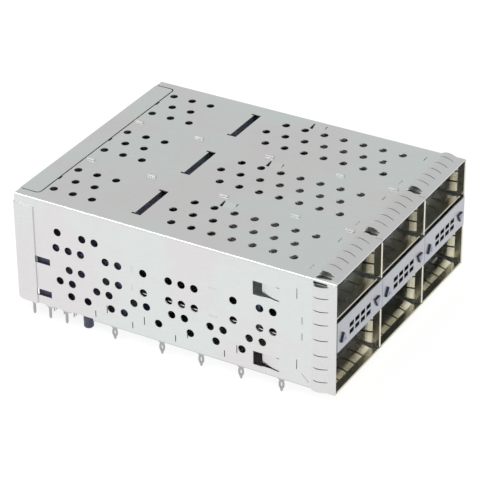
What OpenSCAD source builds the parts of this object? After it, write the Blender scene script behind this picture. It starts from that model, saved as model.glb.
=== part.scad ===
// Stacked cage for plug-in transceivers: two rows of three ports, pressed into a circuit board.
// +X runs across the columns, +Y from the port mouths to the rear, +Z up from the board.
// The origin lies on the board's top face, in the middle of the front edge.

/* [Cage] */
// Distance between the middles of neighbouring columns
column_pitch = 20; // [19.6:0.1:24]
// Length from the front edge to the outer face of the rear wall
cage_len = 78.5; // [77:0.5:90]
// Clear height of the lower ports, floor to separator
lower_port_h = 10.05; // [9.7:0.05:12]
// Clear height of the upper ports, separator to roof
upper_port_h = 9; // [8.8:0.05:11]
// Height of the separators between the two rows
separator_h = 7.05; // [6.8:0.05:9]
// Thickness of the folded sheets
sheet_t = 0.25; // [0.2:0.01:0.3]
// Outside radius of the sheets' bends
bend_r = 0.5; // [0.4:0.05:0.8]

/* [Vents] */
// Diameter of the vents in the roof
roof_vent_d = 1.8; // [1:0.1:2.2]
// Distance between roof vents along a row
roof_vent_step = 4.87; // [3:0.01:6]
// Distance of the outer rows of roof vents from a column's middle
roof_vent_row_x = 4.77; // [3:0.01:6]
// Distance of the first roof vent from the front edge
roof_vent_start = 12.8; // [12:0.1:20]
// Diameter of the vents in the side walls
side_vent_d = 1.85; // [1:0.05:2.2]
// Grid step of the side vents
side_vent_step = 3.13; // [2.6:0.01:3.2]
// Distance of the first side vent from the front edge
side_vent_start = 14.7; // [14.5:0.1:18]

/* [Contact fingers] */
// Thickness of the spring strips
spring_t = 0.12; // [0.08:0.01:0.15]
// Width of the plain band that grips a sheet's front edge
spring_band = 1.8; // [1:0.1:2.5]
// Length of a finger outside the cage
outer_finger_len = 3.6; // [2.5:0.1:4]
// How far an outer finger stands out
outer_finger_rise = 0.7; // [0.3:0.05:1]
// Length of a finger inside a port
inner_finger_len = 4.2; // [2.5:0.1:5]
// How far an inner finger stands into its port
inner_finger_rise = 0.5; // [0.2:0.05:0.6]
// How far a finger on a separator's upper plate stands up
flat_finger_rise = 0.12; // [0.08:0.01:0.3]
// Slit between neighbouring fingers outside the cage
finger_slit = 0.2; // [0.1:0.05:0.4]
// Slit between neighbouring fingers inside a port
inner_finger_slit = 0.4; // [0.2:0.05:0.5]
// Opening in the roof at each column's left corner
corner_gap = 2; // [1.5:0.1:3]

/* [Separator face] */
// Width of a vent slot in the separator's face
face_slot_w = 1.9; // [1:0.1:2.2]
// Height of a vent slot in the separator's face
face_slot_h = 1.1; // [0.6:0.1:1.3]
// Distance between vent slots across the face
face_slot_step_x = 2.5; // [2.4:0.1:2.8]
// Distance between the two rows of vent slots
face_slot_step_z = 1.65; // [1.5:0.05:2]
// Side of the triangular light windows
window_w = 2.4; // [1.5:0.1:2.6]
// Distance of the light windows from a column's middle
window_x = 7.5; // [7.3:0.1:7.8]

/* [Board pins] */
// Length of the pins below the board's top face
pin_len = 3; // [2:0.1:4]
// Width of a press-fit pin across its eye
pin_w = 1.3; // [0.9:0.05:1.6]
// Distance of the first press-fit pin from the front edge
first_pin_y = 12.7; // [10:0.1:14]
// Distance between press-fit pins along a wall
pin_step = 9.7; // [8:0.1:11]
// Diameter of the connectors' locating pegs
peg_d = 2.2; // [1.6:0.1:2.4]

/* [Connector] */
// Contacts in one row
contacts_per_row = 19; // [9:2:19]
// Distance between neighbouring contacts
contact_pitch = 0.8; // [0.6:0.05:0.8]
// Width of a contact
contact_w = 0.3; // [0.2:0.05:0.35]
// Thickness of a contact
contact_t = 0.2; // [0.1:0.05:0.25]
// Height of the slot that takes a module's card edge
card_slot_h = 1.3; // [1:0.1:1.6]
// Depth of the card slot
card_slot_len = 6; // [4:0.5:6]
// Width of a connector's housing
housing_w = 18.8; // [18.6:0.1:19]
// Length of a connector's housing behind its noses
housing_len = 22.45; // [21.35:0.1:24.35]
// Length of the noses that reach into the ports
nose_len = 7; // [6.5:0.5:9]
// Height of a nose
nose_h = 5.6; // [4.8:0.1:6]

/* [Light pipes] */
// Width of a light pipe
pipe_w = 1.4; // [1:0.1:1.5]
// Height of a light pipe
pipe_h = 1.6; // [1:0.1:1.8]

/* [Fits] */
// Play between pieces that slide together
play = 0.05; // [0.02:0.01:0.1]

/* [Hidden] */
$fn = 48;
SIDES = ["left", "middle", "right"];

// Heights, from the board up
floor_top = sheet_t;
sep_bottom = floor_top + lower_port_h;
sep_top = sep_bottom + separator_h;
roof_under = sep_top + upper_port_h;
cage_h = roof_under + sheet_t;
lower_port_z = floor_top + lower_port_h / 2;
upper_port_z = sep_top + upper_port_h / 2;

// Widths, from the middle out
wall_in = 1.5 * column_pitch;
wall_out = wall_in + sheet_t;
divider_x = column_pitch / 2;
port_half_w = divider_x - sheet_t / 2;

// Lengths, from the front back
rear_in = cage_len - sheet_t;
cover_lap = 5.1;
cover_front = cage_len - cover_lap;
rear_room = 4.7;
housing_rear = rear_in - rear_room;
housing_front = housing_rear - housing_len;
stop_w = 1.6;
stop_y = housing_front - play - sheet_t - stop_w;
stop_len = 11.5;
stop_shift = 0.25;
stop_drop = 1.5;
floor_lap = 5.9;
floor_end = housing_front + floor_lap;
front_wall_len = 6.5;
vent_stop_gap = 4;
vent_stop_gap_rear = 12.55;
vent_cover_gap = 1;

// Rear cover
flap_bottom = 0.2;
flap_top = cage_h - 2.2;
flap_corner_r = 1.4;
flange_inset = 2.6;
flange_corner_r = 0.8;
seam_gap = 0.3;
seam_notch = 0.3;
seam_notch_w = 1.5;

// Fingers
fingers_per_column = 6;
finger_w = (column_pitch - corner_gap) / fingers_per_column;
first_finger_x = 0.25 + corner_gap - divider_x;
finger_swing = 150;
divider_fingers = 3;
divider_finger_margin = 0.6;
side_top_gap = 1.1;
side_mid_finger = 3.75;
side_finger = 3.15;

// Latch windows, one for each port in each wall
latch_y = 13.2;
latch_len = 6.2;
latch_h = 3.3;
latch_lift = 3;
latch_tab_len = 4.7;
latch_tab_in = 1;

// Roof windows with a tab bent down
roof_window_x = 7.3;
roof_window_y = 33.4;
roof_window_len = 3.5;
roof_window_w = 2.4;
roof_tab_tilt = 20;

// Tabs that join the dividers to the roof
roof_tab_len = 2;
roof_tab_fold = 0.5;
roof_tab_stop_gap = 5.8;
roof_tab_cover_gap = 2.7;
roof_tab_rise = 0.45;
roof_tab_y = [6.7, 19.6, 37, stop_y + roof_tab_stop_gap, cover_front - roof_tab_cover_gap];

// Short slits near the roof's front edge
lance_x = [-6.3, 5.8];
lance_y = 7.7;
lance_w = 1.8;
lance_slit = 0.2;

// Separators
sep_set_back = 0.73;
sep_half_w = port_half_w - spring_t - play;
sep_rear = stop_y - 0.3;
sep_tab_y = 28;
sep_tab_len = 2;
sep_rear_tab_h = 1.3;
face_proud = 0.15;
face_flange_len = 8;
face_flange_tab_h = 1.6;
window_z = 2.85;

// Pins
side_pin_stop_gap = 4.5;
side_pin_y = concat([for (k = [0:3]) first_pin_y + k * pin_step], [stop_y + side_pin_stop_gap]);
divider_pin_back = 16.5;
divider_pin_y = concat([for (k = [0:3]) first_pin_y + (k + 0.5) * pin_step],
    [housing_front + divider_pin_back]);
ground_pin_w = 0.6;
ground_pin_rear_gap = [7.45, 3.15];
ground_pin_y = [for (g = ground_pin_rear_gap) housing_rear - g];
peg_x = port_half_w - 2 * play - peg_d / 2;
peg_back = 10.3;
peg_y = housing_front + peg_back;
peg_tip_len = 0.25;
foot_inner_x = 6.9;
foot_h = 2.2;
board_gap = 0.3;

// Contacts
contact_span = (contacts_per_row - 1) * contact_pitch;
contact_x = [for (k = [0:contacts_per_row - 1]) k * contact_pitch - contact_span / 2];
contact_tip_in = 0.8;
contact_tip_len = 1.2;
contact_ramp_len = 1.4;
contact_tip_rise = 0.6;
contact_dip_rise = 0.35;
contact_reach = 0.9;
contact_point_len = 0.4;
contact_leg_step = 2.6;
contact_leg_back = 12.5;
first_leg_y = housing_front + contact_leg_back;
nose_w = contact_span + 1.4;
card_slot_w = contact_span - 0.4;
comb_h = 2 * (contact_reach + contact_t + play);
organizer_h = 2.3;
organizer_margin = 0.9;
organizer_front = first_leg_y - organizer_margin;
organizer_w = nose_w + 0.2;
cheek_in = organizer_w / 2 + play;
cheek_core = 0.9;
cheek_rim = 3;
housing_top = roof_under - 0.75;
roof_block_h = 1.2;

// Light pipes
pipe_z = sep_bottom + window_z;
pipe_x = cheek_in + play + pipe_w / 2;
pipe_head_len = 2.5;
pipe_head_proud = 0.4;
pipe_joint_len = 2.6;
pipe_rear = housing_rear + 3.2;
pipe_foot_len = 1.6;
carrier_y = 18;
carrier_len = 3;
carrier_window_w = 12;
carrier_rim = 1;

// Finishes
plated = [0.80, 0.81, 0.80];
spring_metal = [0.86, 0.85, 0.81];
black_plastic = [0.16, 0.17, 0.22];
contact_gold = [0.80, 0.66, 0.32];
clear_plastic = [0.72, 0.78, 0.92];

// Runs a section drawn in (depth, height) from x = a to x = b.
module across(a, b) translate([a, 0, 0]) rotate([90, 0, 90]) linear_extrude(b - a) children();

// Runs a section drawn in (width, height) from y = a to y = b.
module along(a, b) translate([0, b, 0]) rotate([90, 0, 0]) linear_extrude(b - a) children();

module both_sides() { children(); mirror([1, 0, 0]) children(); }

// A box between two corners.
module block(low, high) translate(low) cube(high - low);

// A quarter turn of sheet about the section's origin, in its first quadrant.
module bend()
    intersection() {
        difference() { circle(bend_r); circle(bend_r - sheet_t); }
        square(bend_r);
    }

// Half a U of sheet, from the middle of its web to the end of its leg.
module half_u(half_w, h) {
    translate([0, h - sheet_t]) square([half_w - bend_r, sheet_t]);
    translate([half_w - sheet_t, 0]) square([sheet_t, h - bend_r]);
    translate([half_w - bend_r, h - bend_r]) bend();
}

module u_section(half_w, h) { half_u(half_w, h); mirror([1, 0]) half_u(half_w, h); }

// A press-fit pin in (depth, height): shoulders at the wall, an eye that gives way, and a blunt tip.
module eye_pin() {
    eye_z = -0.45 * pin_len;
    eye_w = pin_w * 0.3;
    eye_h = pin_len * 0.26;
    difference() {
        polygon([[-pin_w * 0.75, 0.5], [-pin_w * 0.75, 0], [-pin_w * 0.36, -0.12 * pin_len],
            [-pin_w * 0.5, -0.33 * pin_len], [-pin_w * 0.5, -0.58 * pin_len],
            [-pin_w * 0.18, -0.88 * pin_len], [-pin_w * 0.12, -pin_len],
            [pin_w * 0.12, -pin_len], [pin_w * 0.18, -0.88 * pin_len],
            [pin_w * 0.5, -0.58 * pin_len], [pin_w * 0.5, -0.33 * pin_len],
            [pin_w * 0.36, -0.12 * pin_len], [pin_w * 0.75, 0], [pin_w * 0.75, 0.5]]);
        translate([-eye_w / 2, eye_z - eye_h / 2]) square([eye_w, eye_h]);
        for (end = [-1, 1]) translate([0, eye_z + end * eye_h / 2]) circle(eye_w / 2);
    }
}

// A plain pin in (depth, height).
module ground_pin()
    polygon([[-ground_pin_w, 0.5], [-ground_pin_w, 0], [-ground_pin_w / 2, -0.4],
        [-ground_pin_w / 2, -0.8 * pin_len], [-ground_pin_w / 4, -0.95 * pin_len],
        [ground_pin_w / 4, -0.95 * pin_len], [ground_pin_w / 2, -0.8 * pin_len],
        [ground_pin_w / 2, -0.4], [ground_pin_w, 0], [ground_pin_w, 0.5]]);

// ---- Spring strips -------------------------------------------------------------------------
// A strip lies along X. Y is the depth behind the front edge, and Z is the gripped sheet's
// outward normal, with the sheet from Z = -sheet_t to 0.

// The fold that grips a sheet's front edge, as a section in (depth, normal).
function grip_outline() =
    let (r = sheet_t / 2 + spring_t)
    concat([[spring_band, spring_t]],
        [for (a = [90:15:270]) [r + r * cos(a), r * sin(a) - sheet_t / 2]],
        [[spring_band, -sheet_t - spring_t], [spring_band, -sheet_t], [spring_t, -sheet_t],
         [spring_t, 0], [spring_band, 0]]);

// An arched finger beyond the band, as a section in (depth, normal).
function finger_outline(len, rise, n = 8) = concat(
    [for (i = [0:n]) [spring_band + len * i / n, spring_t + rise * sin(finger_swing * i / n)]],
    [for (i = [n:-1:0]) [spring_band + len * i / n, rise * sin(finger_swing * i / n)]]);

module fingers(spans, len, rise, slit)
    for (s = spans) across(s[0] + slit / 2, s[1] - slit / 2) polygon(finger_outline(len, rise));

module outer_fingers(spans) fingers(spans, outer_finger_len, outer_finger_rise, finger_slit);

module inner_fingers(spans, set_back = 0, rise = inner_finger_rise)
    fingers(spans, inner_finger_len - set_back, rise, inner_finger_slit);

// The far side of the gripped sheet.
module under_sheet() translate([0, 0, -sheet_t]) mirror([0, 0, 1]) children();

// Spans of equal fingers that fill a stretch.
function equal_spans(a, b, n) = [for (i = [0:n - 1]) [a + (b - a) * i / n, a + (b - a) * (i + 1) / n]];

// The six fingers of one column, kept inside the cage's corner.
function column_spans(column) =
    let (limit = column == 1 ? divider_x - bend_r : column_pitch)
    [for (s = equal_spans(first_finger_x, first_finger_x + column_pitch - corner_gap, fingers_per_column))
        [s[0], min(s[1], limit)]];

// Fingers up a side wall: wide ones in the middle, narrower ones outward, the rest at the ends.
function side_edges() =
    let (half = (cage_h - side_top_gap) / 2,
        n = floor((half - side_mid_finger - 2) / side_finger),
        steps = concat([0], [for (i = [0:n]) side_mid_finger + i * side_finger], [half]))
    concat([for (i = [n + 2:-1:1]) half - steps[i]], [for (s = steps) half + s]);

function side_spans() = let (e = side_edges()) [for (i = [0:len(e) - 2]) [e[i], e[i + 1]]];

function port_spans(bottom, top) =
    equal_spans(bottom + divider_finger_margin, top - divider_finger_margin, divider_fingers);

// ---- Cage shell: roof and side walls, one folded sheet --------------------------------------

module roof_vents(column) {
    half_step = roof_vent_step / 2;
    front_end = stop_y - vent_stop_gap;
    rear_start = stop_y + vent_stop_gap_rear;
    rear_end = cover_front - vent_cover_gap;
    outer = [for (r = [[roof_vent_start, front_end], [rear_start, rear_end]])
        for (y = [r[0]:roof_vent_step:r[1]]) y];
    middle = [for (r = [[roof_vent_start, front_end], [rear_start, rear_end + 1.5]])
        for (y = [r[0] + half_step:roof_vent_step:r[1]]) y];
    translate([column * column_pitch, 0, roof_under - 1]) {
        for (y = outer, s = [-1, 1]) translate([s * roof_vent_row_x, y]) cylinder(h = 3, d = roof_vent_d);
        for (y = middle) translate([0, y]) cylinder(h = 3, d = roof_vent_d);
    }
}

// The drop-shaped opening between two columns' outer fingers.
module corner_drop() {
    end_r = corner_gap * 0.42;
    end_y = spring_band + outer_finger_len - end_r;
    translate([0, 0, roof_under - 1]) linear_extrude(3) {
        translate([0, end_y]) circle(end_r);
        polygon([[-0.3, spring_band + 0.1], [0.3, spring_band + 0.1], [end_r, end_y], [-end_r, end_y]]);
    }
}

// The rear cover's roof flange in plan, with rounded front corners, or the larger cutout round it.
module flange_plan(gap, rear) {
    r = flange_corner_r + gap;
    half_w = wall_out - flange_inset + gap;
    front = cover_front - gap;
    translate([-half_w, front + r]) square([2 * half_w, rear - front - r]);
    translate([r - half_w, front]) square([2 * (half_w - r), 2 * r]);
    for (s = [-1, 1]) translate([s * (half_w - r), front + r]) circle(r);
}

module roof_cuts(column) {
    roof_vents(column);
    translate([column * column_pitch, 0, 0]) {
        translate([first_finger_x - corner_gap / 2, 0, 0]) corner_drop();
        translate([stop_shift, 0, 0]) {
            block([-stop_len / 2, stop_y, roof_under - 1], [stop_len / 2, stop_y + stop_w, cage_h + 1]);
            for (s = [-1, 1])
                translate([s * (stop_len / 2 - 0.25), stop_y + stop_w + 0.3, cage_h])
                    cube([0.5, 0.8, 3], center = true);
        }
        block([roof_window_x - roof_window_w / 2, roof_window_y, roof_under - 1],
            [roof_window_x + roof_window_w / 2, roof_window_y + roof_window_len, cage_h + 1]);
        block([-seam_notch_w / 2, cover_front - seam_gap - seam_notch, roof_under - 1],
            [seam_notch_w / 2, cover_front, cage_h + 1]);
        for (x = lance_x)
            block([x - lance_w / 2, lance_y, roof_under - 1],
                [x + lance_w / 2, lance_y + lance_slit, cage_h + 1]);
    }
}

// A cut through both side walls.
module side_block(y0, z0, y1, z1)
    block([-wall_out - 1, y0, z0], [wall_out + 1, y1, z1]);

module side_vents() {
    rows = [
        [sep_bottom + 0.65, 0, [0, 1, 3, 6, 7, 8, 10, 12, 13, 15, 16]],
        [sep_top - 1.6, 0, [0, 1, 3, 6, 7, 8, 10, 12, 13, 15, 16, 17]],
        [floor_top + 7.42, 0.8, [0, 1, 3, 4, 6, 7, 9, 10, 12, 13, 15, 16]],
        [floor_top + 4.18, 0.36, [2, 4, 6, 8.5, 11.25, 12.3, 14.2, 15.55]],
        [sep_top + 2.35, 0.83, [13, 14, 16]]];
    for (row = rows, k = row[2]) {
        y = side_vent_start + (row[1] + k) * side_vent_step;
        if (y < cover_front - 3)
            translate([-wall_out - 1, y, row[0]]) rotate([0, 90, 0])
                cylinder(h = 2 * wall_out + 2, d = side_vent_d);
    }
}

latch_floors = [floor_top, sep_top];
ear_y = [23.2, 35.2, stop_y - 3.3, stop_y + 6.1];
ear_len = 3;
ear_h = 2.6;

module side_cuts() {
    slit = 0.2;
    side_vents();
    for (z = latch_floors) {
        side_block(latch_y, z + latch_lift - latch_h / 2, latch_y + latch_len, z + latch_lift + latch_h / 2);
        side_block(9, z + 3.4, 9 + slit, z + 5.8);
    }
    separator_slots();
    for (y = ear_y) {
        side_block(y, 3, y + slit, 5);
        side_block(y + ear_len, 1.2, y + ear_len + slit, 2.8);
    }
    for (z = [sep_bottom + 0.35, floor_top + 2.15])
        side_block(cover_front - 3.7, z, cover_front + 1.2, z + 1.6);
    side_block(peg_y - peg_d, -1, peg_y + peg_d + 1.4, 0.45);
    side_block(ground_pin_y[0] + 1, -1, ground_pin_y[1] - 1, 0.3);
    side_block(ground_pin_y[1] + 1, -1, cage_len, 0.3);
    side_block(spring_band + 0.4, cage_h - side_top_gap, spring_band + outer_finger_len, cage_h - bend_r);
    translate([0, 7.1, 2.15]) rotate([45, 0, 0]) cube([2 * wall_out + 2, 2.4, slit], center = true);
}

// Slots in the side walls and dividers that hold the tabs of the separators and their faces.
module separator_slots() {
    gap = play / 2;
    for (z = [sep_bottom, sep_top - sheet_t])
        side_block(sep_tab_y - gap, z - gap, sep_tab_y + sep_tab_len + gap, z + sheet_t + gap);
    for (z = separator_tab_z())
        side_block(sep_rear - sheet_t - gap, z - gap, sep_rear + gap, z + sep_rear_tab_h + gap);
    for (z = face_tab_z())
        side_block(face_flange_len - sheet_t - gap, z - gap, face_flange_len + gap, z + face_flange_tab_h + gap);
}

function separator_tab_z() = [sep_bottom + bend_r + 0.1, sep_top - bend_r - 0.1 - sep_rear_tab_h];
function face_tab_z() = [sep_bottom + bend_r + 0.3, sep_top - bend_r - 0.3 - face_flange_tab_h];

// A latch tab in the wall at x = 0, bent towards +X.
module latch_tab(z)
    translate([0, latch_y - 0.05, z + latch_lift - latch_h / 2 + 0.2])
        rotate([0, 0, -asin(latch_tab_in / latch_tab_len)])
            cube([sheet_t, latch_tab_len, latch_h - 0.4]);

module cage_shell() color(plated) {
    difference() {
        along(spring_t, cage_len - bend_r) u_section(wall_out, cage_h);
        for (column = [-1:1]) roof_cuts(column);
        translate([0, 0, roof_under - 1]) linear_extrude(3) flange_plan(seam_gap, cage_len);
        side_cuts();
        for (s = [-1, 1], y = roof_tab_y)
            block([s * divider_x - sheet_t / 2 - play, y - play, roof_under - 1],
                [s * divider_x + sheet_t / 2 + play, y + roof_tab_len + play, cage_h + 1]);
    }
    both_sides() translate([-wall_out, 0, 0]) {
        for (z = latch_floors) latch_tab(z);
        across(0, sheet_t) {
            for (y = side_pin_y) translate([y, 0]) eye_pin();
            for (y = ground_pin_y) translate([y, 0]) ground_pin();
        }
    }
    for (column = [-1:1]) translate([column * column_pitch, 0, 0]) {
        block([stop_shift - stop_len / 2 + 0.55, stop_y + stop_w, roof_under - stop_drop],
            [stop_shift + stop_len / 2 - 0.55, stop_y + stop_w + sheet_t, cage_h]);
        translate([roof_window_x + roof_window_w / 2, roof_window_y + 0.35, cage_h])
            rotate([0, -roof_tab_tilt, 0])
                translate([0.5 - roof_window_w, 0, -sheet_t])
                    cube([roof_window_w - 0.45, roof_window_len - 0.7, sheet_t]);
    }
}

// ---- Rear cover: rear wall with a roof flange and two side flaps -----------------------------

cover_half_w = wall_out + sheet_t;

module rear_cover() color(plated) {
    difference() {
        union() {
            translate([0, cover_front, flap_bottom]) linear_extrude(flap_top - flap_bottom)
                u_section(cover_half_w, cover_lap);
            translate([0, 0, roof_under]) linear_extrude(sheet_t) flange_plan(0, cage_len - bend_r);
            across(flange_inset - wall_out, wall_out - flange_inset) {
                translate([cage_len - bend_r, cage_h - bend_r]) bend();
                translate([rear_in, flap_bottom]) square([sheet_t, cage_h - bend_r - flap_bottom]);
            }
            block([-wall_out + bend_r, rear_in, flap_bottom],
                [wall_out - bend_r, cage_len, cage_h - bend_r]);
        }
        across(-cover_half_w - 1, cover_half_w + 1)
            translate([cage_len - flap_corner_r, flap_bottom + flap_corner_r]) difference() {
                translate([0, -flap_corner_r - 1]) square(flap_corner_r + 1);
                circle(flap_corner_r);
            }
    }
    both_sides() across(wall_out, cover_half_w)
        translate([cage_len - 4.1, flap_bottom]) ground_pin();
}

// ---- Floor plate with upright ears that press on the side walls ------------------------------

module floor_plate() color(plated) {
    half_w = wall_in - play / 2;
    difference() {
        block([-half_w, spring_t, 0], [half_w, floor_end, sheet_t]);
        for (s = [-1, 1], y = divider_pin_y)
            block([s * divider_x - sheet_t / 2 - play, y - pin_w, -1],
                [s * divider_x + sheet_t / 2 + play, y + pin_w, 1]);
        both_sides()
            block([wall_in - spring_t - play, -1, -1], [wall_in + 1, spring_band + play, 1]);
    }
    both_sides() for (y = ear_y)
        block([half_w - sheet_t, y + 0.3, 0], [half_w, y + ear_len - 0.1, ear_h]);
}

// ---- Dividers between the columns ------------------------------------------------------------

strip_room = spring_t + play;

module divider(side) color(plated) translate([side * divider_x, 0, 0]) {
    difference() {
        across(-sheet_t / 2, sheet_t / 2)
            translate([spring_t, floor_top]) square([cover_front - seam_gap - spring_t, roof_under - floor_top]);
        for (z = latch_floors)
            side_block(latch_y, z + latch_lift - latch_h / 2, latch_y + latch_len, z + latch_lift + latch_h / 2);
        separator_slots();
        side_vents();
        for (z = [floor_top, roof_under])
            side_block(-1, z - strip_room, spring_band + play, z + strip_room);
    }
    // Each window has one tab for the port on its left and one for the port on its right.
    for (z = latch_floors, s = [-1, 1]) {
        tab_h = latch_h / 2 - 0.3;
        translate([0, latch_y - 0.05, z + latch_lift + (s > 0 ? 0.1 : -tab_h - 0.1)])
            rotate([0, 0, -s * asin(latch_tab_in / latch_tab_len)])
                translate([-sheet_t / 2, 0, 0]) cube([sheet_t, latch_tab_len, tab_h]);
    }
    across(-sheet_t / 2, sheet_t / 2) {
        for (y = divider_pin_y) translate([y, 0]) eye_pin();
        for (y = roof_tab_y) translate([y, roof_under - 0.5]) square([roof_tab_len, 0.5 + sheet_t + roof_tab_rise]);
    }
    for (y = roof_tab_y)
        block([-sheet_t / 2, y, cage_h],
            [sheet_t / 2 + roof_tab_fold, y + roof_tab_len, cage_h + roof_tab_rise]);
}

// ---- Spring strips on the cage's edges -------------------------------------------------------

strip_end_gap = 0.06;

module roof_springs(column) color(spring_metal) translate([column * column_pitch, 0, cage_h]) {
    left = column == -1 ? bend_r - divider_x : strip_end_gap - divider_x;
    right = column == 1 ? divider_x - bend_r : divider_x - strip_end_gap;
    spans = column_spans(column);
    across(left, right) polygon(grip_outline());
    outer_fingers([for (s = spans) [s[0], min(s[1], right)]]);
    under_sheet() inner_fingers(equal_spans(first_finger_x, inner_reach, fingers_per_column - 1));
}

// Inner fingers of a port's roof or floor keep clear of the walls' own fingers.
inner_reach = port_half_w - inner_finger_rise - spring_t - 0.4;

function inner_spans() = equal_spans(-inner_reach, inner_reach, fingers_per_column - 1);

module floor_springs(column) color(spring_metal) translate([column * column_pitch, 0, 0])
    mirror([0, 0, 1]) {
        end = divider_x - bend_r;
        across(-end, end) polygon(grip_outline());
        outer_fingers(equal_spans(-end, end, fingers_per_column));
        under_sheet() inner_fingers(inner_spans());
    }

// The strip round the left wall's front edge, standing on end.
module side_springs() color(spring_metal) translate([-wall_out, 0, 0]) rotate([0, -90, 0]) {
    across(0, cage_h - bend_r) polygon(grip_outline());
    outer_fingers(side_spans());
    under_sheet() for (p = port_heights) inner_fingers(port_spans(p[0], p[1]));
}

port_heights = [[floor_top, sep_bottom], [sep_top, roof_under]];

module divider_springs(side, port) color(spring_metal)
    translate([side * divider_x - sheet_t / 2, 0, 0]) rotate([0, -90, 0]) {
        z = port_heights[port];
        across(z[0] + 0.3, z[1] - 0.3) polygon(grip_outline());
        inner_fingers(port_spans(z[0], z[1]));
        under_sheet() inner_fingers(port_spans(z[0], z[1]));
    }

// Springs on the front edge of a separator's upper (1) or lower (0) plate.
module separator_springs(column, upper) color(spring_metal)
    translate([column * column_pitch, sep_set_back, upper == 1 ? sep_top : sep_bottom])
        mirror([0, 0, 1 - upper]) {
            end = sep_half_w - face_flange_room;
            across(-end, end) polygon(grip_outline());
            inner_fingers(inner_spans(), sep_set_back, upper == 1 ? flat_finger_rise : inner_finger_rise);
        }

// ---- Separators: a U of sheet, open at the front, behind its vented face ---------------------

face_flange_room = 0.4;

// The outer edge of a tab on side s of a column: flush with a side wall, or half way into a divider.
function tab_reach(column, s) = column * s == 1 ? divider_x + sheet_t : divider_x - play / 2;

// The edge of a separator's face on side s: inside a side wall's strip, or half way over a divider.
function face_edge(column, s) = divider_x - play - (column * s == 1 ? spring_t : 0);

module separator(column) color(plated) translate([column * column_pitch, 0, 0]) {
    difference() {
        across(-sep_half_w, sep_half_w)
            translate([0, (sep_bottom + sep_top) / 2]) rotate(-90)
                translate([0, sep_set_back + spring_t])
                    u_section(separator_h / 2, sep_rear - sep_set_back - spring_t);
        both_sides()
            block([pipe_x - pipe_w / 2 - play, sep_rear - 1, pipe_z - pipe_h / 2 - play],
                [sep_half_w + 1, sep_rear + 1, pipe_z + pipe_h / 2 + play]);
    }
    for (s = [-1, 1]) {
        reach = tab_reach(column, s);
        mirror([s < 0 ? 1 : 0, 0, 0]) {
            for (z = [sep_bottom, sep_top - sheet_t])
                block([sep_half_w - 0.5, sep_tab_y, z], [reach, sep_tab_y + sep_tab_len, z + sheet_t]);
            for (z = separator_tab_z())
                block([sep_half_w - 0.5, sep_rear - sheet_t, z], [reach, sep_rear, z + sep_rear_tab_h]);
        }
    }
}

// A triangle with its point up (1) or down (-1), centred on its height.
module triangle(w, turn) {
    h = w * 0.95;
    polygon([[-w / 2, -turn * h / 2], [w / 2, -turn * h / 2], [0, turn * h / 2]]);
}

module separator_face(column) color(plated) translate([column * column_pitch, 0, 0]) {
    flange_x = port_half_w - play / 2;
    difference() {
        along(-face_proud, sheet_t - face_proud)
            for (s = [-1, 1]) mirror([s < 0 ? 1 : 0, 0])
                translate([0, sep_bottom]) square([face_edge(column, s), separator_h]);
        for (ix = [-1.5:1.5], iz = [-0.5, 0.5])
            translate([ix * face_slot_step_x, 0, pipe_z + 0.1 + iz * face_slot_step_z])
                cube([face_slot_w, 2, face_slot_h], center = true);
        for (s = [-1, 1])
            along(-1, 1) translate([s * window_x, pipe_z]) triangle(window_w, -s);
    }
    for (s = [-1, 1]) mirror([s < 0 ? 1 : 0, 0, 0]) {
        block([flange_x - sheet_t, 0, sep_bottom + bend_r], [flange_x, face_flange_len, sep_top - bend_r]);
        for (z = face_tab_z())
            block([flange_x - sheet_t, face_flange_len - sheet_t, z],
                [tab_reach(column, s), face_flange_len, z + face_flange_tab_h]);
    }
}

// ---- Connectors ------------------------------------------------------------------------------

nose_front = housing_front - nose_len;

module connector_housing(column) color(black_plastic) translate([column * column_pitch, 0, 0]) {
    half_w = housing_w / 2;
    difference() {
        union() {
            block([-half_w, housing_front, board_gap], [half_w, housing_front + front_wall_len, housing_top]);
            block([-half_w, housing_front, housing_top - roof_block_h], [half_w, housing_rear, housing_top]);
            both_sides() block([cheek_in, housing_front, board_gap], [half_w, housing_rear, housing_top]);
            for (z = [lower_port_z, upper_port_z])
                block([-nose_w / 2, nose_front, z - nose_h / 2], [nose_w / 2, housing_front + 1, z + nose_h / 2]);
        }
        for (z = [lower_port_z, upper_port_z]) {
            block([-card_slot_w / 2, nose_front - 1, z - card_slot_h / 2],
                [card_slot_w / 2, nose_front + card_slot_len, z + card_slot_h / 2]);
            for (x = contact_x)
                block([x - contact_w / 2 - play, nose_front + contact_tip_in - 0.3, z - comb_h / 2],
                    [x + contact_w / 2 + play, housing_front + front_wall_len + 1, z + comb_h / 2]);
        }
        both_sides() {
            block([pipe_x - pipe_w / 2 - play, housing_front - 1, pipe_z - pipe_h / 2 - play],
                [half_w + 1, housing_rear + 1, pipe_z + pipe_h / 2 + play]);
            // The cheeks are cored out from outside, above and below the light pipe's channel.
            for (z = [[cheek_rim, pipe_z - 1.5 * pipe_h], [pipe_z + 1.5 * pipe_h, housing_top - cheek_rim]])
                block([half_w - cheek_core, housing_front + cheek_rim, z[0]],
                    [half_w + 1, cover_front - 3.9, z[1]]);
        }
    }
    both_sides() {
        block([foot_inner_x, peg_y - peg_d * 0.8, board_gap],
            [port_half_w - play, organizer_front - play, board_gap + foot_h]);
        translate([peg_x, peg_y, 0]) {
            translate([0, 0, peg_tip_len - pin_len]) cylinder(h = pin_len + board_gap, d = peg_d);
            translate([0, 0, -pin_len]) cylinder(h = peg_tip_len, d1 = peg_d - 0.4, d2 = peg_d);
        }
    }
}

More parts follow.
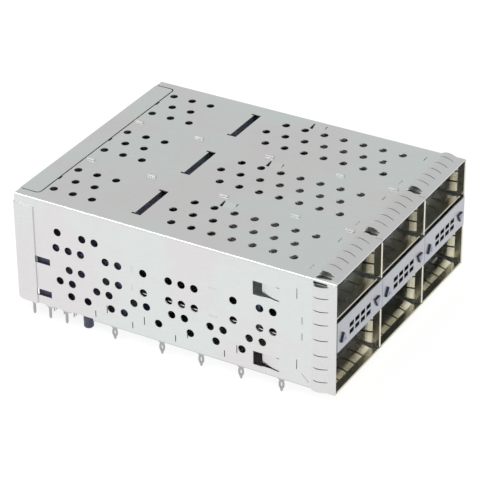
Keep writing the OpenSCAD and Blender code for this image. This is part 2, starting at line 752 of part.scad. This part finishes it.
// A comb of slots that keeps the contact tails in line above the board.
module tail_organizer(column) color(black_plastic) translate([column * column_pitch, 0, 0])
    difference() {
        last_leg_y = first_leg_y + 3 * contact_leg_step;
        block([-organizer_w / 2, organizer_front, board_gap],
            [organizer_w / 2, last_leg_y + organizer_margin, board_gap + organizer_h]);
        for (x = contact_x)
            block([x - contact_w / 2 - play, first_leg_y - contact_t, 0],
                [x + contact_w / 2 + play, last_leg_y + contact_t, board_gap + organizer_h + 1]);
    }

// One contact's section in (depth, height): a sprung tip in the card slot, a run to the rear
// and a leg down into the board. side is 1 above the card and -1 below it.
function contact_outline(card_z, side, leg_y) =
    let (t = contact_t, tip_y = nose_front + contact_tip_in,
        dip_y = tip_y + contact_tip_len, run_y = dip_y + contact_ramp_len,
        leg_low = contact_point_len - pin_len,
        under = [for (rise = [contact_tip_rise, contact_dip_rise, contact_reach])
            card_z + side * rise - (side < 0 ? t : 0)])
    [[tip_y, under[0]], [dip_y, under[1]], [run_y, under[2]], [leg_y - t / 2, under[2]],
     [leg_y - t / 2, leg_low], [leg_y - t / 4, -pin_len], [leg_y + t / 4, -pin_len],
     [leg_y + t / 2, leg_low], [leg_y + t / 2, under[2] + t], [run_y, under[2] + t],
     [dip_y, under[1] + t], [tip_y, under[0] + t]];

// Row 0 is the lowest in front and the first to go down, row 3 the highest and the last.
module contact_row(column, row) color(contact_gold) translate([column * column_pitch, 0, 0]) {
    card_z = row < 2 ? lower_port_z : upper_port_z;
    side = row % 2 == 0 ? -1 : 1;
    for (x = contact_x)
        across(x - contact_w / 2, x + contact_w / 2)
            polygon(contact_outline(card_z, side, first_leg_y + row * contact_leg_step));
}

// ---- Light pipes -----------------------------------------------------------------------------

// Pipe on side s of a column: a triangular head in its window, a bar to the rear and a foot down.
module light_pipe(column, s) color(clear_plastic)
    translate([column * column_pitch, 0, 0]) {
        along(-face_proud - pipe_head_proud, pipe_head_len)
            translate([s * window_x, pipe_z]) triangle(window_w - 0.3, -s);
        mirror([s < 0 ? 1 : 0, 0, 0]) {
            outer_x = pipe_x + pipe_w / 2;
            block([window_x - window_w / 2 + 0.1, pipe_head_len, pipe_z - pipe_h / 2],
                [outer_x, pipe_head_len + pipe_joint_len, pipe_z + pipe_h / 2]);
            block([outer_x - pipe_w, pipe_head_len, pipe_z - pipe_h / 2],
                [outer_x, pipe_rear, pipe_z + pipe_h / 2]);
            block([outer_x - pipe_w, pipe_rear - pipe_foot_len, board_gap],
                [outer_x, pipe_rear, pipe_z + pipe_h / 2]);
        }
    }

// A frame between the separator's plates that holds the two pipes.
module light_pipe_carrier(column) color(black_plastic) translate([column * column_pitch, 0, 0])
    difference() {
        low = sep_bottom + sheet_t + play / 2;
        high = sep_top - sheet_t - play / 2;
        half_w = sep_half_w - play;
        block([-half_w, carrier_y, low], [half_w, carrier_y + carrier_len, high]);
        block([-carrier_window_w / 2, carrier_y - 1, low + carrier_rim],
            [carrier_window_w / 2, carrier_y + carrier_len + 1, high - carrier_rim]);
        both_sides()
            block([pipe_x - pipe_w / 2 - play, carrier_y - 1, pipe_z - pipe_h / 2 - play],
                [pipe_x + pipe_w / 2 + play, carrier_y + carrier_len + 1, pipe_z + pipe_h / 2 + play]);
    }

// ---- The parts -------------------------------------------------------------------------------

cage_shell();
rear_cover();
floor_plate();
divider(-1);  // divider_left
divider(1);  // divider_right
side_springs();  // side_springs_left
mirror([1, 0, 0]) side_springs();  // side_springs_right
for (i = [0:2]) {
    separator(i - 1);
    separator_face(i - 1);
    for (upper = [0, 1])
        separator_springs(i - 1, upper);
    roof_springs(i - 1);
    floor_springs(i - 1);
    connector_housing(i - 1);
    tail_organizer(i - 1);
    for (row = [0:3])
        contact_row(i - 1, row);
    for (turn = [0, 1])
        light_pipe(i - 1, 2 * turn - 1);
    light_pipe_carrier(i - 1);
}
for (i = [0, 1], port = [0, 1])
    divider_springs(2 * i - 1, port);
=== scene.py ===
"""Looks of the stacked transceiver cage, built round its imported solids."""
import math

import bpy
import numpy as np
from mathutils import Matrix, Vector


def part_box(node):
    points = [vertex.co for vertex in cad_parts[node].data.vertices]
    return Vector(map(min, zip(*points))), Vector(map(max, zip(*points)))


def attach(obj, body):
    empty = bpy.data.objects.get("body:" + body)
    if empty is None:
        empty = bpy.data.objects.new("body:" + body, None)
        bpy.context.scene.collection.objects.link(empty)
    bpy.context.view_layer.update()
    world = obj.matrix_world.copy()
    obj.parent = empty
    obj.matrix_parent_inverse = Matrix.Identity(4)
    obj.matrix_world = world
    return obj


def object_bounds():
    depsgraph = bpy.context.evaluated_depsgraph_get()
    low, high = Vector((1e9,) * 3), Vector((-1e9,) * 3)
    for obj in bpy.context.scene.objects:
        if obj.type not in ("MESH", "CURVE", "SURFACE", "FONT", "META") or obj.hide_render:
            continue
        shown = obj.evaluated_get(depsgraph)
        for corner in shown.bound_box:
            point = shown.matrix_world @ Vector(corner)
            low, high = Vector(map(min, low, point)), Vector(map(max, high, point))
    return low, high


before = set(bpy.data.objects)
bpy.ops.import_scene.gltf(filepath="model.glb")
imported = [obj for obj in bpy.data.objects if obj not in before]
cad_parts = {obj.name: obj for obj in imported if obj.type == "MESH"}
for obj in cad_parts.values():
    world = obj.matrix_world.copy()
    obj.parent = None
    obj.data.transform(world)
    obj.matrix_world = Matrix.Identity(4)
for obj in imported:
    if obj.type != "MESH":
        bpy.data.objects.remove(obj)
cad_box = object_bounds()
MM = 0.001

# ---- Camera ------------------------------------------------------------------------------------
# A long lens looks down on the cage's left side, roof and ports, with a slight roll.
view_azimuth = math.radians(-59.753)
view_elevation = math.radians(30.511)
view_roll = math.radians(-0.6127)
view_point = Vector((-383.43, -183.69, 271.685)) * MM
lens_mm = 175.758

to_camera = Vector((math.sin(view_azimuth) * math.cos(view_elevation),
                    -math.cos(view_azimuth) * math.cos(view_elevation),
                    math.sin(view_elevation)))
level_right = Vector((math.cos(view_azimuth), math.sin(view_azimuth), 0))
level_up = to_camera.cross(level_right)
right = level_right * math.cos(view_roll) + level_up * math.sin(view_roll)
up = level_up * math.cos(view_roll) - level_right * math.sin(view_roll)
camera_data = bpy.data.cameras.new("camera")
camera_data.lens = lens_mm
camera_data.sensor_width = 36
camera_data.clip_start = 0.01
camera = bpy.data.objects.new("camera", camera_data)
camera.matrix_world = Matrix((
    (right.x, up.x, to_camera.x, view_point.x),
    (right.y, up.y, to_camera.y, view_point.y),
    (right.z, up.z, to_camera.z, view_point.z),
    (0, 0, 0, 1)))
bpy.context.scene.collection.objects.link(camera)
bpy.context.scene.camera = camera
bpy.context.scene.view_settings.view_transform = "Standard"

# ---- Studio ------------------------------------------------------------------------------------
# A white sweep under the pins' tips and a pale surround. Four lamps: a key over the left side, a
# fill for the port mouths, a rim from behind, and a small one for the bend beside the roof.


def new_material(name):
    """An empty node material: (material, nodes, links, Principled shader)."""
    material = bpy.data.materials.new(name)
    material.use_nodes = True
    nodes, links = material.node_tree.nodes, material.node_tree.links
    nodes.clear()
    output = nodes.new("ShaderNodeOutputMaterial")
    shader = nodes.new("ShaderNodeBsdfPrincipled")
    links.new(shader.outputs[0], output.inputs["Surface"])
    return material, nodes, links, shader


def seen_rays(nodes, links):
    """1 where a camera, glossy or transmission ray looks, 0 for light that bounces."""
    path = nodes.new("ShaderNodeLightPath")
    total = path.outputs["Is Camera Ray"]
    for name in ("Is Glossy Ray", "Is Transmission Ray"):
        either = nodes.new("ShaderNodeMath")
        either.operation = "MAXIMUM"
        links.new(total, either.inputs[0])
        links.new(path.outputs[name], either.inputs[1])
        total = either.outputs[0]
    return total


floor_half = 3.0
floor_level = cad_box[0][2]
floor_glow = 0.86
floor_grey_lit, floor_grey_seen = 0.8, 0.2
surround_colour, surround_strength = (0.985, 1, 0.99, 1), 0.72
floor_mesh = bpy.data.meshes.new("floor")
floor_mesh.from_pydata(
    [(-floor_half, -floor_half, floor_level), (floor_half, -floor_half, floor_level),
     (floor_half, floor_half, floor_level), (-floor_half, floor_half, floor_level)],
    [], [(0, 1, 2, 3)])
floor = bpy.data.objects.new("floor", floor_mesh)
bpy.context.scene.collection.objects.link(floor)
floor_white, nodes, links, shader = new_material("white_sweep")
shader.inputs["Roughness"].default_value = 0.9
shader.inputs["Specular IOR Level"].default_value = 0
shader.inputs["Emission Color"].default_value = (1, 1, 1, 1)
seen = seen_rays(nodes, links)
glow = nodes.new("ShaderNodeMath")
glow.operation = "MULTIPLY"
glow.inputs[1].default_value = floor_glow
links.new(seen, glow.inputs[0])
links.new(glow.outputs[0], shader.inputs["Emission Strength"])
paint = nodes.new("ShaderNodeMix")
paint.data_type = "RGBA"
paint.inputs["A"].default_value = (floor_grey_lit,) * 3 + (1,)
paint.inputs["B"].default_value = (floor_grey_seen,) * 3 + (1,)
links.new(seen, paint.inputs["Factor"])
links.new(paint.outputs["Result"], shader.inputs["Base Color"])
floor_mesh.materials.append(floor_white)

world = bpy.data.worlds.new("surround")
bpy.context.scene.world = world
world.use_nodes = True
background = world.node_tree.nodes["Background"]
background.inputs["Color"].default_value = surround_colour
background.inputs["Strength"].default_value = surround_strength

cage_middle = Vector((0, 39, 12)) * MM
for name, place, size, power in (
        ("key", (-520, -260, 620), 1.0, 1.6),
        ("fill", (260, -640, 300), 0.8, 0.8),
        ("rim", (-300, 620, 420), 0.8, 0.8),
        ("edge", (-406, 386, 607), 0.22, 1.0)):
    lamp = bpy.data.lights.new(name, "AREA")
    lamp.size = size
    lamp.energy = power
    lamp_object = bpy.data.objects.new(name, lamp)
    lamp_object.location = Vector(place) * MM
    lamp_object.rotation_euler = (cage_middle - lamp_object.location).to_track_quat("-Z", "Y").to_euler()
    bpy.context.scene.collection.objects.link(lamp_object)

# ---- Folded sheet ------------------------------------------------------------------------------
# The shell, cover, floor, dividers, separators and their faces are cut and folded from
# tin-plated strip: fine rolling grain, faint cloudy zones in the plating and small rubs.


def new_group(name, inputs, outputs):
    """A node group with named sockets: (group, nodes, links, its inputs, its outputs)."""
    group = bpy.data.node_groups.new(name, "ShaderNodeTree")
    kinds = {"colour": "NodeSocketColor", "value": "NodeSocketFloat", "vector": "NodeSocketVector"}
    for socket, kind in inputs:
        group.interface.new_socket(name=socket, in_out="INPUT", socket_type=kinds[kind])
    for socket, kind in outputs:
        group.interface.new_socket(name=socket, in_out="OUTPUT", socket_type=kinds[kind])
    nodes, links = group.nodes, group.links
    return group, nodes, links, nodes.new("NodeGroupInput").outputs, nodes.new("NodeGroupOutput").inputs


def noise(nodes, links, vector, scale, detail=3.0, rough=0.55, distort=0.0):
    """A noise value on the given coordinates, its scale in features per metre."""
    node = nodes.new("ShaderNodeTexNoise")
    node.inputs["Scale"].default_value = scale
    node.inputs["Detail"].default_value = detail
    node.inputs["Roughness"].default_value = rough
    node.inputs["Distortion"].default_value = distort
    links.new(vector, node.inputs["Vector"])
    return node.outputs["Fac"]


def fit_range(nodes, links, value, low, high, to_low=0.0, to_high=1.0, smooth=False):
    """Maps low..high to to_low..to_high, clamped."""
    node = nodes.new("ShaderNodeMapRange")
    if smooth:
        node.interpolation_type = "SMOOTHSTEP"
    for k, v in (("From Min", low), ("From Max", high), ("To Min", to_low), ("To Max", to_high)):
        node.inputs[k].default_value = v
    links.new(value, node.inputs["Value"])
    return node.outputs["Result"]


def blend_colours(nodes, links, factor, a, b, mode="MIX"):
    """Mixes two colours, each a socket or a tuple, by a factor that is a socket or a number."""
    node = nodes.new("ShaderNodeMix")
    node.data_type = "RGBA"
    node.blend_type = mode
    for socket, value in (("Factor", factor), ("A", a), ("B", b)):
        if isinstance(value, (tuple, float, int)):
            node.inputs[socket].default_value = value
        else:
            links.new(value, node.inputs[socket])
    return node.outputs["Result"]


def calculate(nodes, links, operation, a, b):
    """The result of one Math node on two inputs, each a socket or a number."""
    node = nodes.new("ShaderNodeMath")
    node.operation = operation
    for socket, value in zip(node.inputs, (a, b)):
        if isinstance(value, (float, int)):
            socket.default_value = value
        else:
            links.new(value, socket)
    return node.outputs[0]


# Rolled metal: clouds tint it, a fine stretched grain and faint rubs change its gloss and height.
rolled_metal, nodes, links, given, out = new_group(
    "rolled_metal",
    [("Place", "vector"), ("Grain Place", "vector"), ("Colour", "colour"), ("Cloud Colour", "colour"),
     ("Low Roughness", "value"), ("High Roughness", "value")],
    [("Colour", "colour"), ("Roughness", "value"), ("Height", "value")])
cloud = noise(nodes, links, given["Place"], 38, 2.5, 0.5, 0.4)
cloud = fit_range(nodes, links, cloud, 0.44, 0.60, smooth=True)
colour = blend_colours(nodes, links, cloud, given["Colour"], given["Cloud Colour"])
grain = noise(nodes, links, given["Grain Place"], 1.0, 4, 0.6)
grain_shade = fit_range(nodes, links, grain, 0.3, 0.7, 0.965, 1.03)
shade = nodes.new("ShaderNodeCombineColor")
for channel in range(3):
    links.new(grain_shade, shade.inputs[channel])
colour = blend_colours(nodes, links, 1.0, colour, shade.outputs[0], "MULTIPLY")
rub = noise(nodes, links, given["Place"], 260, 5, 0.7, 1.2)
rub = fit_range(nodes, links, rub, 0.35, 0.7)
gloss = nodes.new("ShaderNodeMapRange")
gloss.inputs["From Min"].default_value = 0
gloss.inputs["From Max"].default_value = 1
links.new(rub, gloss.inputs["Value"])
links.new(given["Low Roughness"], gloss.inputs["To Min"])
links.new(given["High Roughness"], gloss.inputs["To Max"])
links.new(colour, out["Colour"])
links.new(gloss.outputs[0], out["Roughness"])
links.new(grain, out["Height"])


def metal(name, colour, cloud_colour, roughness, grain=(9000, 500, 9000), relief=0.000004):
    """A rolled metal material whose grain runs along the axis with the smallest grain number."""
    material, nodes, links, shader = new_material(name)
    place = nodes.new("ShaderNodeTexCoord").outputs["Object"]
    stretch = nodes.new("ShaderNodeMapping")
    stretch.inputs["Scale"].default_value = grain
    links.new(place, stretch.inputs["Vector"])
    group = nodes.new("ShaderNodeGroup")
    group.node_tree = rolled_metal
    links.new(place, group.inputs["Place"])
    links.new(stretch.outputs[0], group.inputs["Grain Place"])
    group.inputs["Colour"].default_value = (*colour, 1)
    group.inputs["Cloud Colour"].default_value = (*cloud_colour, 1)
    group.inputs["Low Roughness"].default_value = roughness[0]
    group.inputs["High Roughness"].default_value = roughness[1]
    bump = nodes.new("ShaderNodeBump")
    bump.inputs["Strength"].default_value = 0.5
    bump.inputs["Distance"].default_value = relief
    links.new(group.outputs["Height"], bump.inputs["Height"])
    links.new(group.outputs["Colour"], shader.inputs["Base Color"])
    links.new(group.outputs["Roughness"], shader.inputs["Roughness"])
    links.new(bump.outputs[0], shader.inputs["Normal"])
    shader.inputs["Metallic"].default_value = 1
    return material


def dress(material, *prefixes):
    """Gives a material to every CAD node whose name starts with one of the prefixes."""
    for node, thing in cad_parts.items():
        if node.startswith(prefixes):
            thing.data.materials.clear()
            thing.data.materials.append(material)


tin_sheet = metal("tin_plated_sheet", (0.715, 0.75, 0.735), (0.735, 0.715, 0.72), (0.30, 0.42))
# The separator faces get a darker base colour than the sheet: painted shade on the set-back front faces.
face_sheet_painted_shade = metal("separator_face_painted_shade", (0.47, 0.49, 0.525), (0.48, 0.475, 0.50), (0.28, 0.38),
                   (500, 9000, 9000))


# Painted shade: below the board's level, under the cage, colours darken.
shade_below_from, shade_below_to = 0.3 * MM, -0.2 * MM


def paint_shade_below_board(material, colour):
    """Fades the base colour into a darker one from just above the board's level downwards: painted shade
    under the cage.
    """
    nodes, links = material.node_tree.nodes, material.node_tree.links
    base = next(node for node in nodes if node.type == "BSDF_PRINCIPLED").inputs["Base Color"]
    height = nodes.new("ShaderNodeSeparateXYZ")
    links.new(nodes.new("ShaderNodeTexCoord").outputs["Object"], height.inputs[0])
    below = fit_range(nodes, links, height.outputs["Z"], shade_below_from, shade_below_to)
    links.new(blend_colours(nodes, links, below, base.links[0].from_socket, (*colour, 1)), base)


# Painted shade on the sheet's pins below the board's level.
paint_shade_below_board(tin_sheet, (0.40, 0.40, 0.42))
dress(tin_sheet, "cage_shell", "rear_cover", "floor_plate", "divider_left", "divider_right",
      "separator_")
dress(face_sheet_painted_shade, "separator_face")

# ---- Rear cover bosses -------------------------------------------------------------------------
# Small oval bosses pressed through the rear cover from its inside: four in a row along the roof
# flange and one on each side flap, where they grip the sheet that they lap.


boss_rim_dip = 0.04


def bosses(name, centres, half_sizes, height, normals, turns=36, rings=9):
    """Oval domes in mm, one for each centre and outward normal. Over the radius from 0 to 1, the
    rise is height times the squared cosine of a quarter turn, less a dip that grows with the
    sixth power and takes the rim just under the sheet."""
    radius = np.linspace(0, 1, rings)[1:]
    angle = np.linspace(0, 2 * np.pi, turns, endpoint=False)
    r, t = np.meshgrid(radius, angle, indexing="ij")
    rise = height * np.cos(r * np.pi / 2) ** 2 - boss_rim_dip * r ** 6
    flat = np.stack([r * np.cos(t) * half_sizes[0], r * np.sin(t) * half_sizes[1], rise], -1)
    dome = np.vstack([[(0, 0, height)], flat.reshape(-1, 3)])
    ring = np.arange(turns)
    fan = np.stack([np.zeros(turns, int), 1 + ring, 1 + (ring + 1) % turns], -1)
    start = 1 + turns * np.arange(rings - 2)[:, None]
    near, far = start + ring, start + (ring + 1) % turns
    low = np.stack([near, near + turns, far + turns], -1).reshape(-1, 3)
    high = np.stack([near, far + turns, far], -1).reshape(-1, 3)
    faces = np.vstack([fan, low, high])
    points, triangles = [], []
    for centre, normal in zip(centres, normals):
        n = np.array(normal, float)
        along_x = np.array((1.0, 0, 0)) if abs(n[2]) > 0.5 else np.array((0, 1.0, 0)) * np.sign(n[0])
        across = np.cross(n, along_x)
        points.append(np.array(centre) + dome @ np.vstack([along_x, across, n]))
        triangles.append(faces + len(dome) * len(triangles))
    mesh = bpy.data.meshes.new(name)
    mesh.from_pydata((np.vstack(points) * MM).tolist(), [], np.vstack(triangles).tolist())
    mesh.polygons.foreach_set("use_smooth", np.ones(len(mesh.polygons), bool))
    piece = bpy.data.objects.new(name, mesh)
    bpy.context.scene.collection.objects.link(piece)
    return piece


cover_side, flange_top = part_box("rear_cover")[1][0] / MM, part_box("rear_cover")[1][2] / MM
flange_boss_x, flange_boss_y = (-21, -6.5, 8.4, 23.3), 76.8
flap_boss_y, flap_boss_z = 76.4, 20.4
flange_bosses = bosses(
    "cover_flange_bosses", [(x, flange_boss_y, flange_top) for x in flange_boss_x],
    half_sizes=(0.75, 0.36), height=0.14, normals=[(0, 0, 1)] * len(flange_boss_x))
flap_bosses = bosses(
    "cover_flap_bosses", [(side * cover_side, flap_boss_y, flap_boss_z) for side in (-1, 1)],
    half_sizes=(0.40, 0.65), height=0.12, normals=[(-1, 0, 0), (1, 0, 0)])
for piece in (flange_bosses, flap_bosses):
    piece.data.materials.append(tin_sheet)
    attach(piece, "root")

# ---- Spring strips -----------------------------------------------------------------------------
# Strips of contact fingers, stamped from bright spring metal and folded over each front edge.
# Outside the cage the plating is as pale as the sheet's; inside the ports the strips get a warmer,
# brighter base colour that is a painted reflection.
spring_outside = (0.70, 0.70, 0.705)
spring_inside_painted_reflection = (0.76, 0.74, 0.64)
spring_cloud_tint = (0.985, 0.965, 0.955, 1)
outside_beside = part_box("cage_shell")[1][0] - 0.3 * MM
outside_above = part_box("cage_shell")[1][2] - 0.7 * MM
outside_fade = 0.1 * MM
spring_metal = metal("spring_metal", spring_inside_painted_reflection, spring_inside_painted_reflection, (0.18, 0.30), (9000, 9000, 500))
nodes, links = spring_metal.node_tree.nodes, spring_metal.node_tree.links
axes = nodes.new("ShaderNodeSeparateXYZ")
links.new(nodes.new("ShaderNodeTexCoord").outputs["Object"], axes.inputs[0])
from_middle = calculate(nodes, links, "ABSOLUTE", axes.outputs["X"], 0.0)
beside = calculate(nodes, links, "SUBTRACT", from_middle, outside_beside)
above = calculate(nodes, links, "SUBTRACT", axes.outputs["Z"], outside_above)
outside = fit_range(nodes, links, calculate(nodes, links, "MAXIMUM", beside, above), 0.0, outside_fade)
# Painted reflection: inside the cage the strips take the warm tint, outside they keep the pale sheet
# colour.
tone = blend_colours(nodes, links, outside, (*spring_inside_painted_reflection, 1), (*spring_outside, 1))
plating = next(node for node in nodes if node.type == "GROUP")
links.new(tone, plating.inputs["Colour"])
links.new(blend_colours(nodes, links, 1.0, tone, spring_cloud_tint, "MULTIPLY"),
          plating.inputs["Cloud Colour"])
dress(spring_metal, "roof_springs", "floor_springs", "side_springs", "divider_springs",
      "separator_springs")

# ---- Connectors --------------------------------------------------------------------------------
# Glass-filled moulded housings and combs, slate blue-black, with a faint orange-peel skin.


mottle_lift = 1.18


def moulded(name, colour, fleck_colour, roughness):
    """A moulded plastic: fine flecks of glass fibre, slight mottling, an orange-peel skin."""
    material, nodes, links, shader = new_material(name)
    place = nodes.new("ShaderNodeTexCoord").outputs["Object"]
    mottle = fit_range(nodes, links, noise(nodes, links, place, 400, 4, 0.6), 0.35, 0.65)
    fleck = fit_range(nodes, links, noise(nodes, links, place, 9000, 2, 0.5), 0.66, 0.72)
    pale = tuple(c * mottle_lift for c in colour)
    colour_out = blend_colours(nodes, links, mottle, (*colour, 1), (*pale, 1))
    colour_out = blend_colours(nodes, links, fleck, colour_out, (*fleck_colour, 1))
    links.new(colour_out, shader.inputs["Base Color"])
    links.new(fit_range(nodes, links, mottle, 0, 1, *roughness), shader.inputs["Roughness"])
    bump = nodes.new("ShaderNodeBump")
    bump.inputs["Distance"].default_value = 0.00001
    bump.inputs["Strength"].default_value = 0.4
    links.new(noise(nodes, links, place, 5000, 2), bump.inputs["Height"])
    links.new(bump.outputs[0], shader.inputs["Normal"])
    return material


slate_plastic = moulded("slate_plastic", (0.05, 0.055, 0.095), (0.14, 0.15, 0.20), (0.42, 0.55))
dress(slate_plastic, "connector_housing", "tail_organizer", "light_pipe_carrier")

# Contacts: copper alloy, gold-plated where the card wipes them, bright tin on the tails.
contact_plating, nodes, links, shader = new_material("contact_plating")
place = nodes.new("ShaderNodeTexCoord").outputs["Object"]
depth = nodes.new("ShaderNodeSeparateXYZ")
links.new(place, depth.inputs[0])
gold_ends, tin_starts = 50 * MM, 51.5 * MM
tail = fit_range(nodes, links, depth.outputs["Y"], gold_ends, tin_starts)
wear = fit_range(nodes, links, noise(nodes, links, place, 2500, 4, 0.6), 0.3, 0.7, 0.0, 0.35)
gold = blend_colours(nodes, links, wear, (0.83, 0.60, 0.24, 1), (0.72, 0.55, 0.30, 1))
links.new(blend_colours(nodes, links, tail, gold, (0.74, 0.75, 0.74, 1)), shader.inputs["Base Color"])
links.new(fit_range(nodes, links, wear, 0, 0.35, 0.2, 0.38), shader.inputs["Roughness"])
shader.inputs["Metallic"].default_value = 1
# Painted shade on the contact tails below the board's level.
paint_shade_below_board(contact_plating, (0.42, 0.42, 0.44))
dress(contact_plating, "contact_row")

# ---- Light pipes -------------------------------------------------------------------------------
# Clear polycarbonate bars with triangular heads that stand a little proud of the face. A head's front is
# frosted and pale violet;
# its sides, picked out by their normals, get a near-black base colour that is painted shade.
pipe_clear, nodes, links, shader = new_material("clear_polycarbonate")
place = nodes.new("ShaderNodeTexCoord").outputs["Object"]
haze = noise(nodes, links, place, 1200, 3, 0.6)
frosted = blend_colours(nodes, links, fit_range(nodes, links, haze, 0.35, 0.65),
                        (0.27, 0.28, 0.46, 1), (0.36, 0.37, 0.56, 1))
facing = nodes.new("ShaderNodeSeparateXYZ")
links.new(nodes.new("ShaderNodeNewGeometry").outputs["True Normal"], facing.inputs[0])
front = fit_range(nodes, links, facing.outputs["Y"], -0.5, -0.8)
# Painted shade: faces that don't point forward get a near-black base colour.
painted_dark_side = (0.02, 0.02, 0.045, 1)
links.new(blend_colours(nodes, links, front, painted_dark_side, frosted), shader.inputs["Base Color"])
links.new(fit_range(nodes, links, haze, 0.3, 0.7, 0.18, 0.34), shader.inputs["Roughness"])
shader.inputs["IOR"].default_value = 1.58
shader.inputs["Transmission Weight"].default_value = 0.25
dress(pipe_clear, "light_pipe_up", "light_pipe_down")
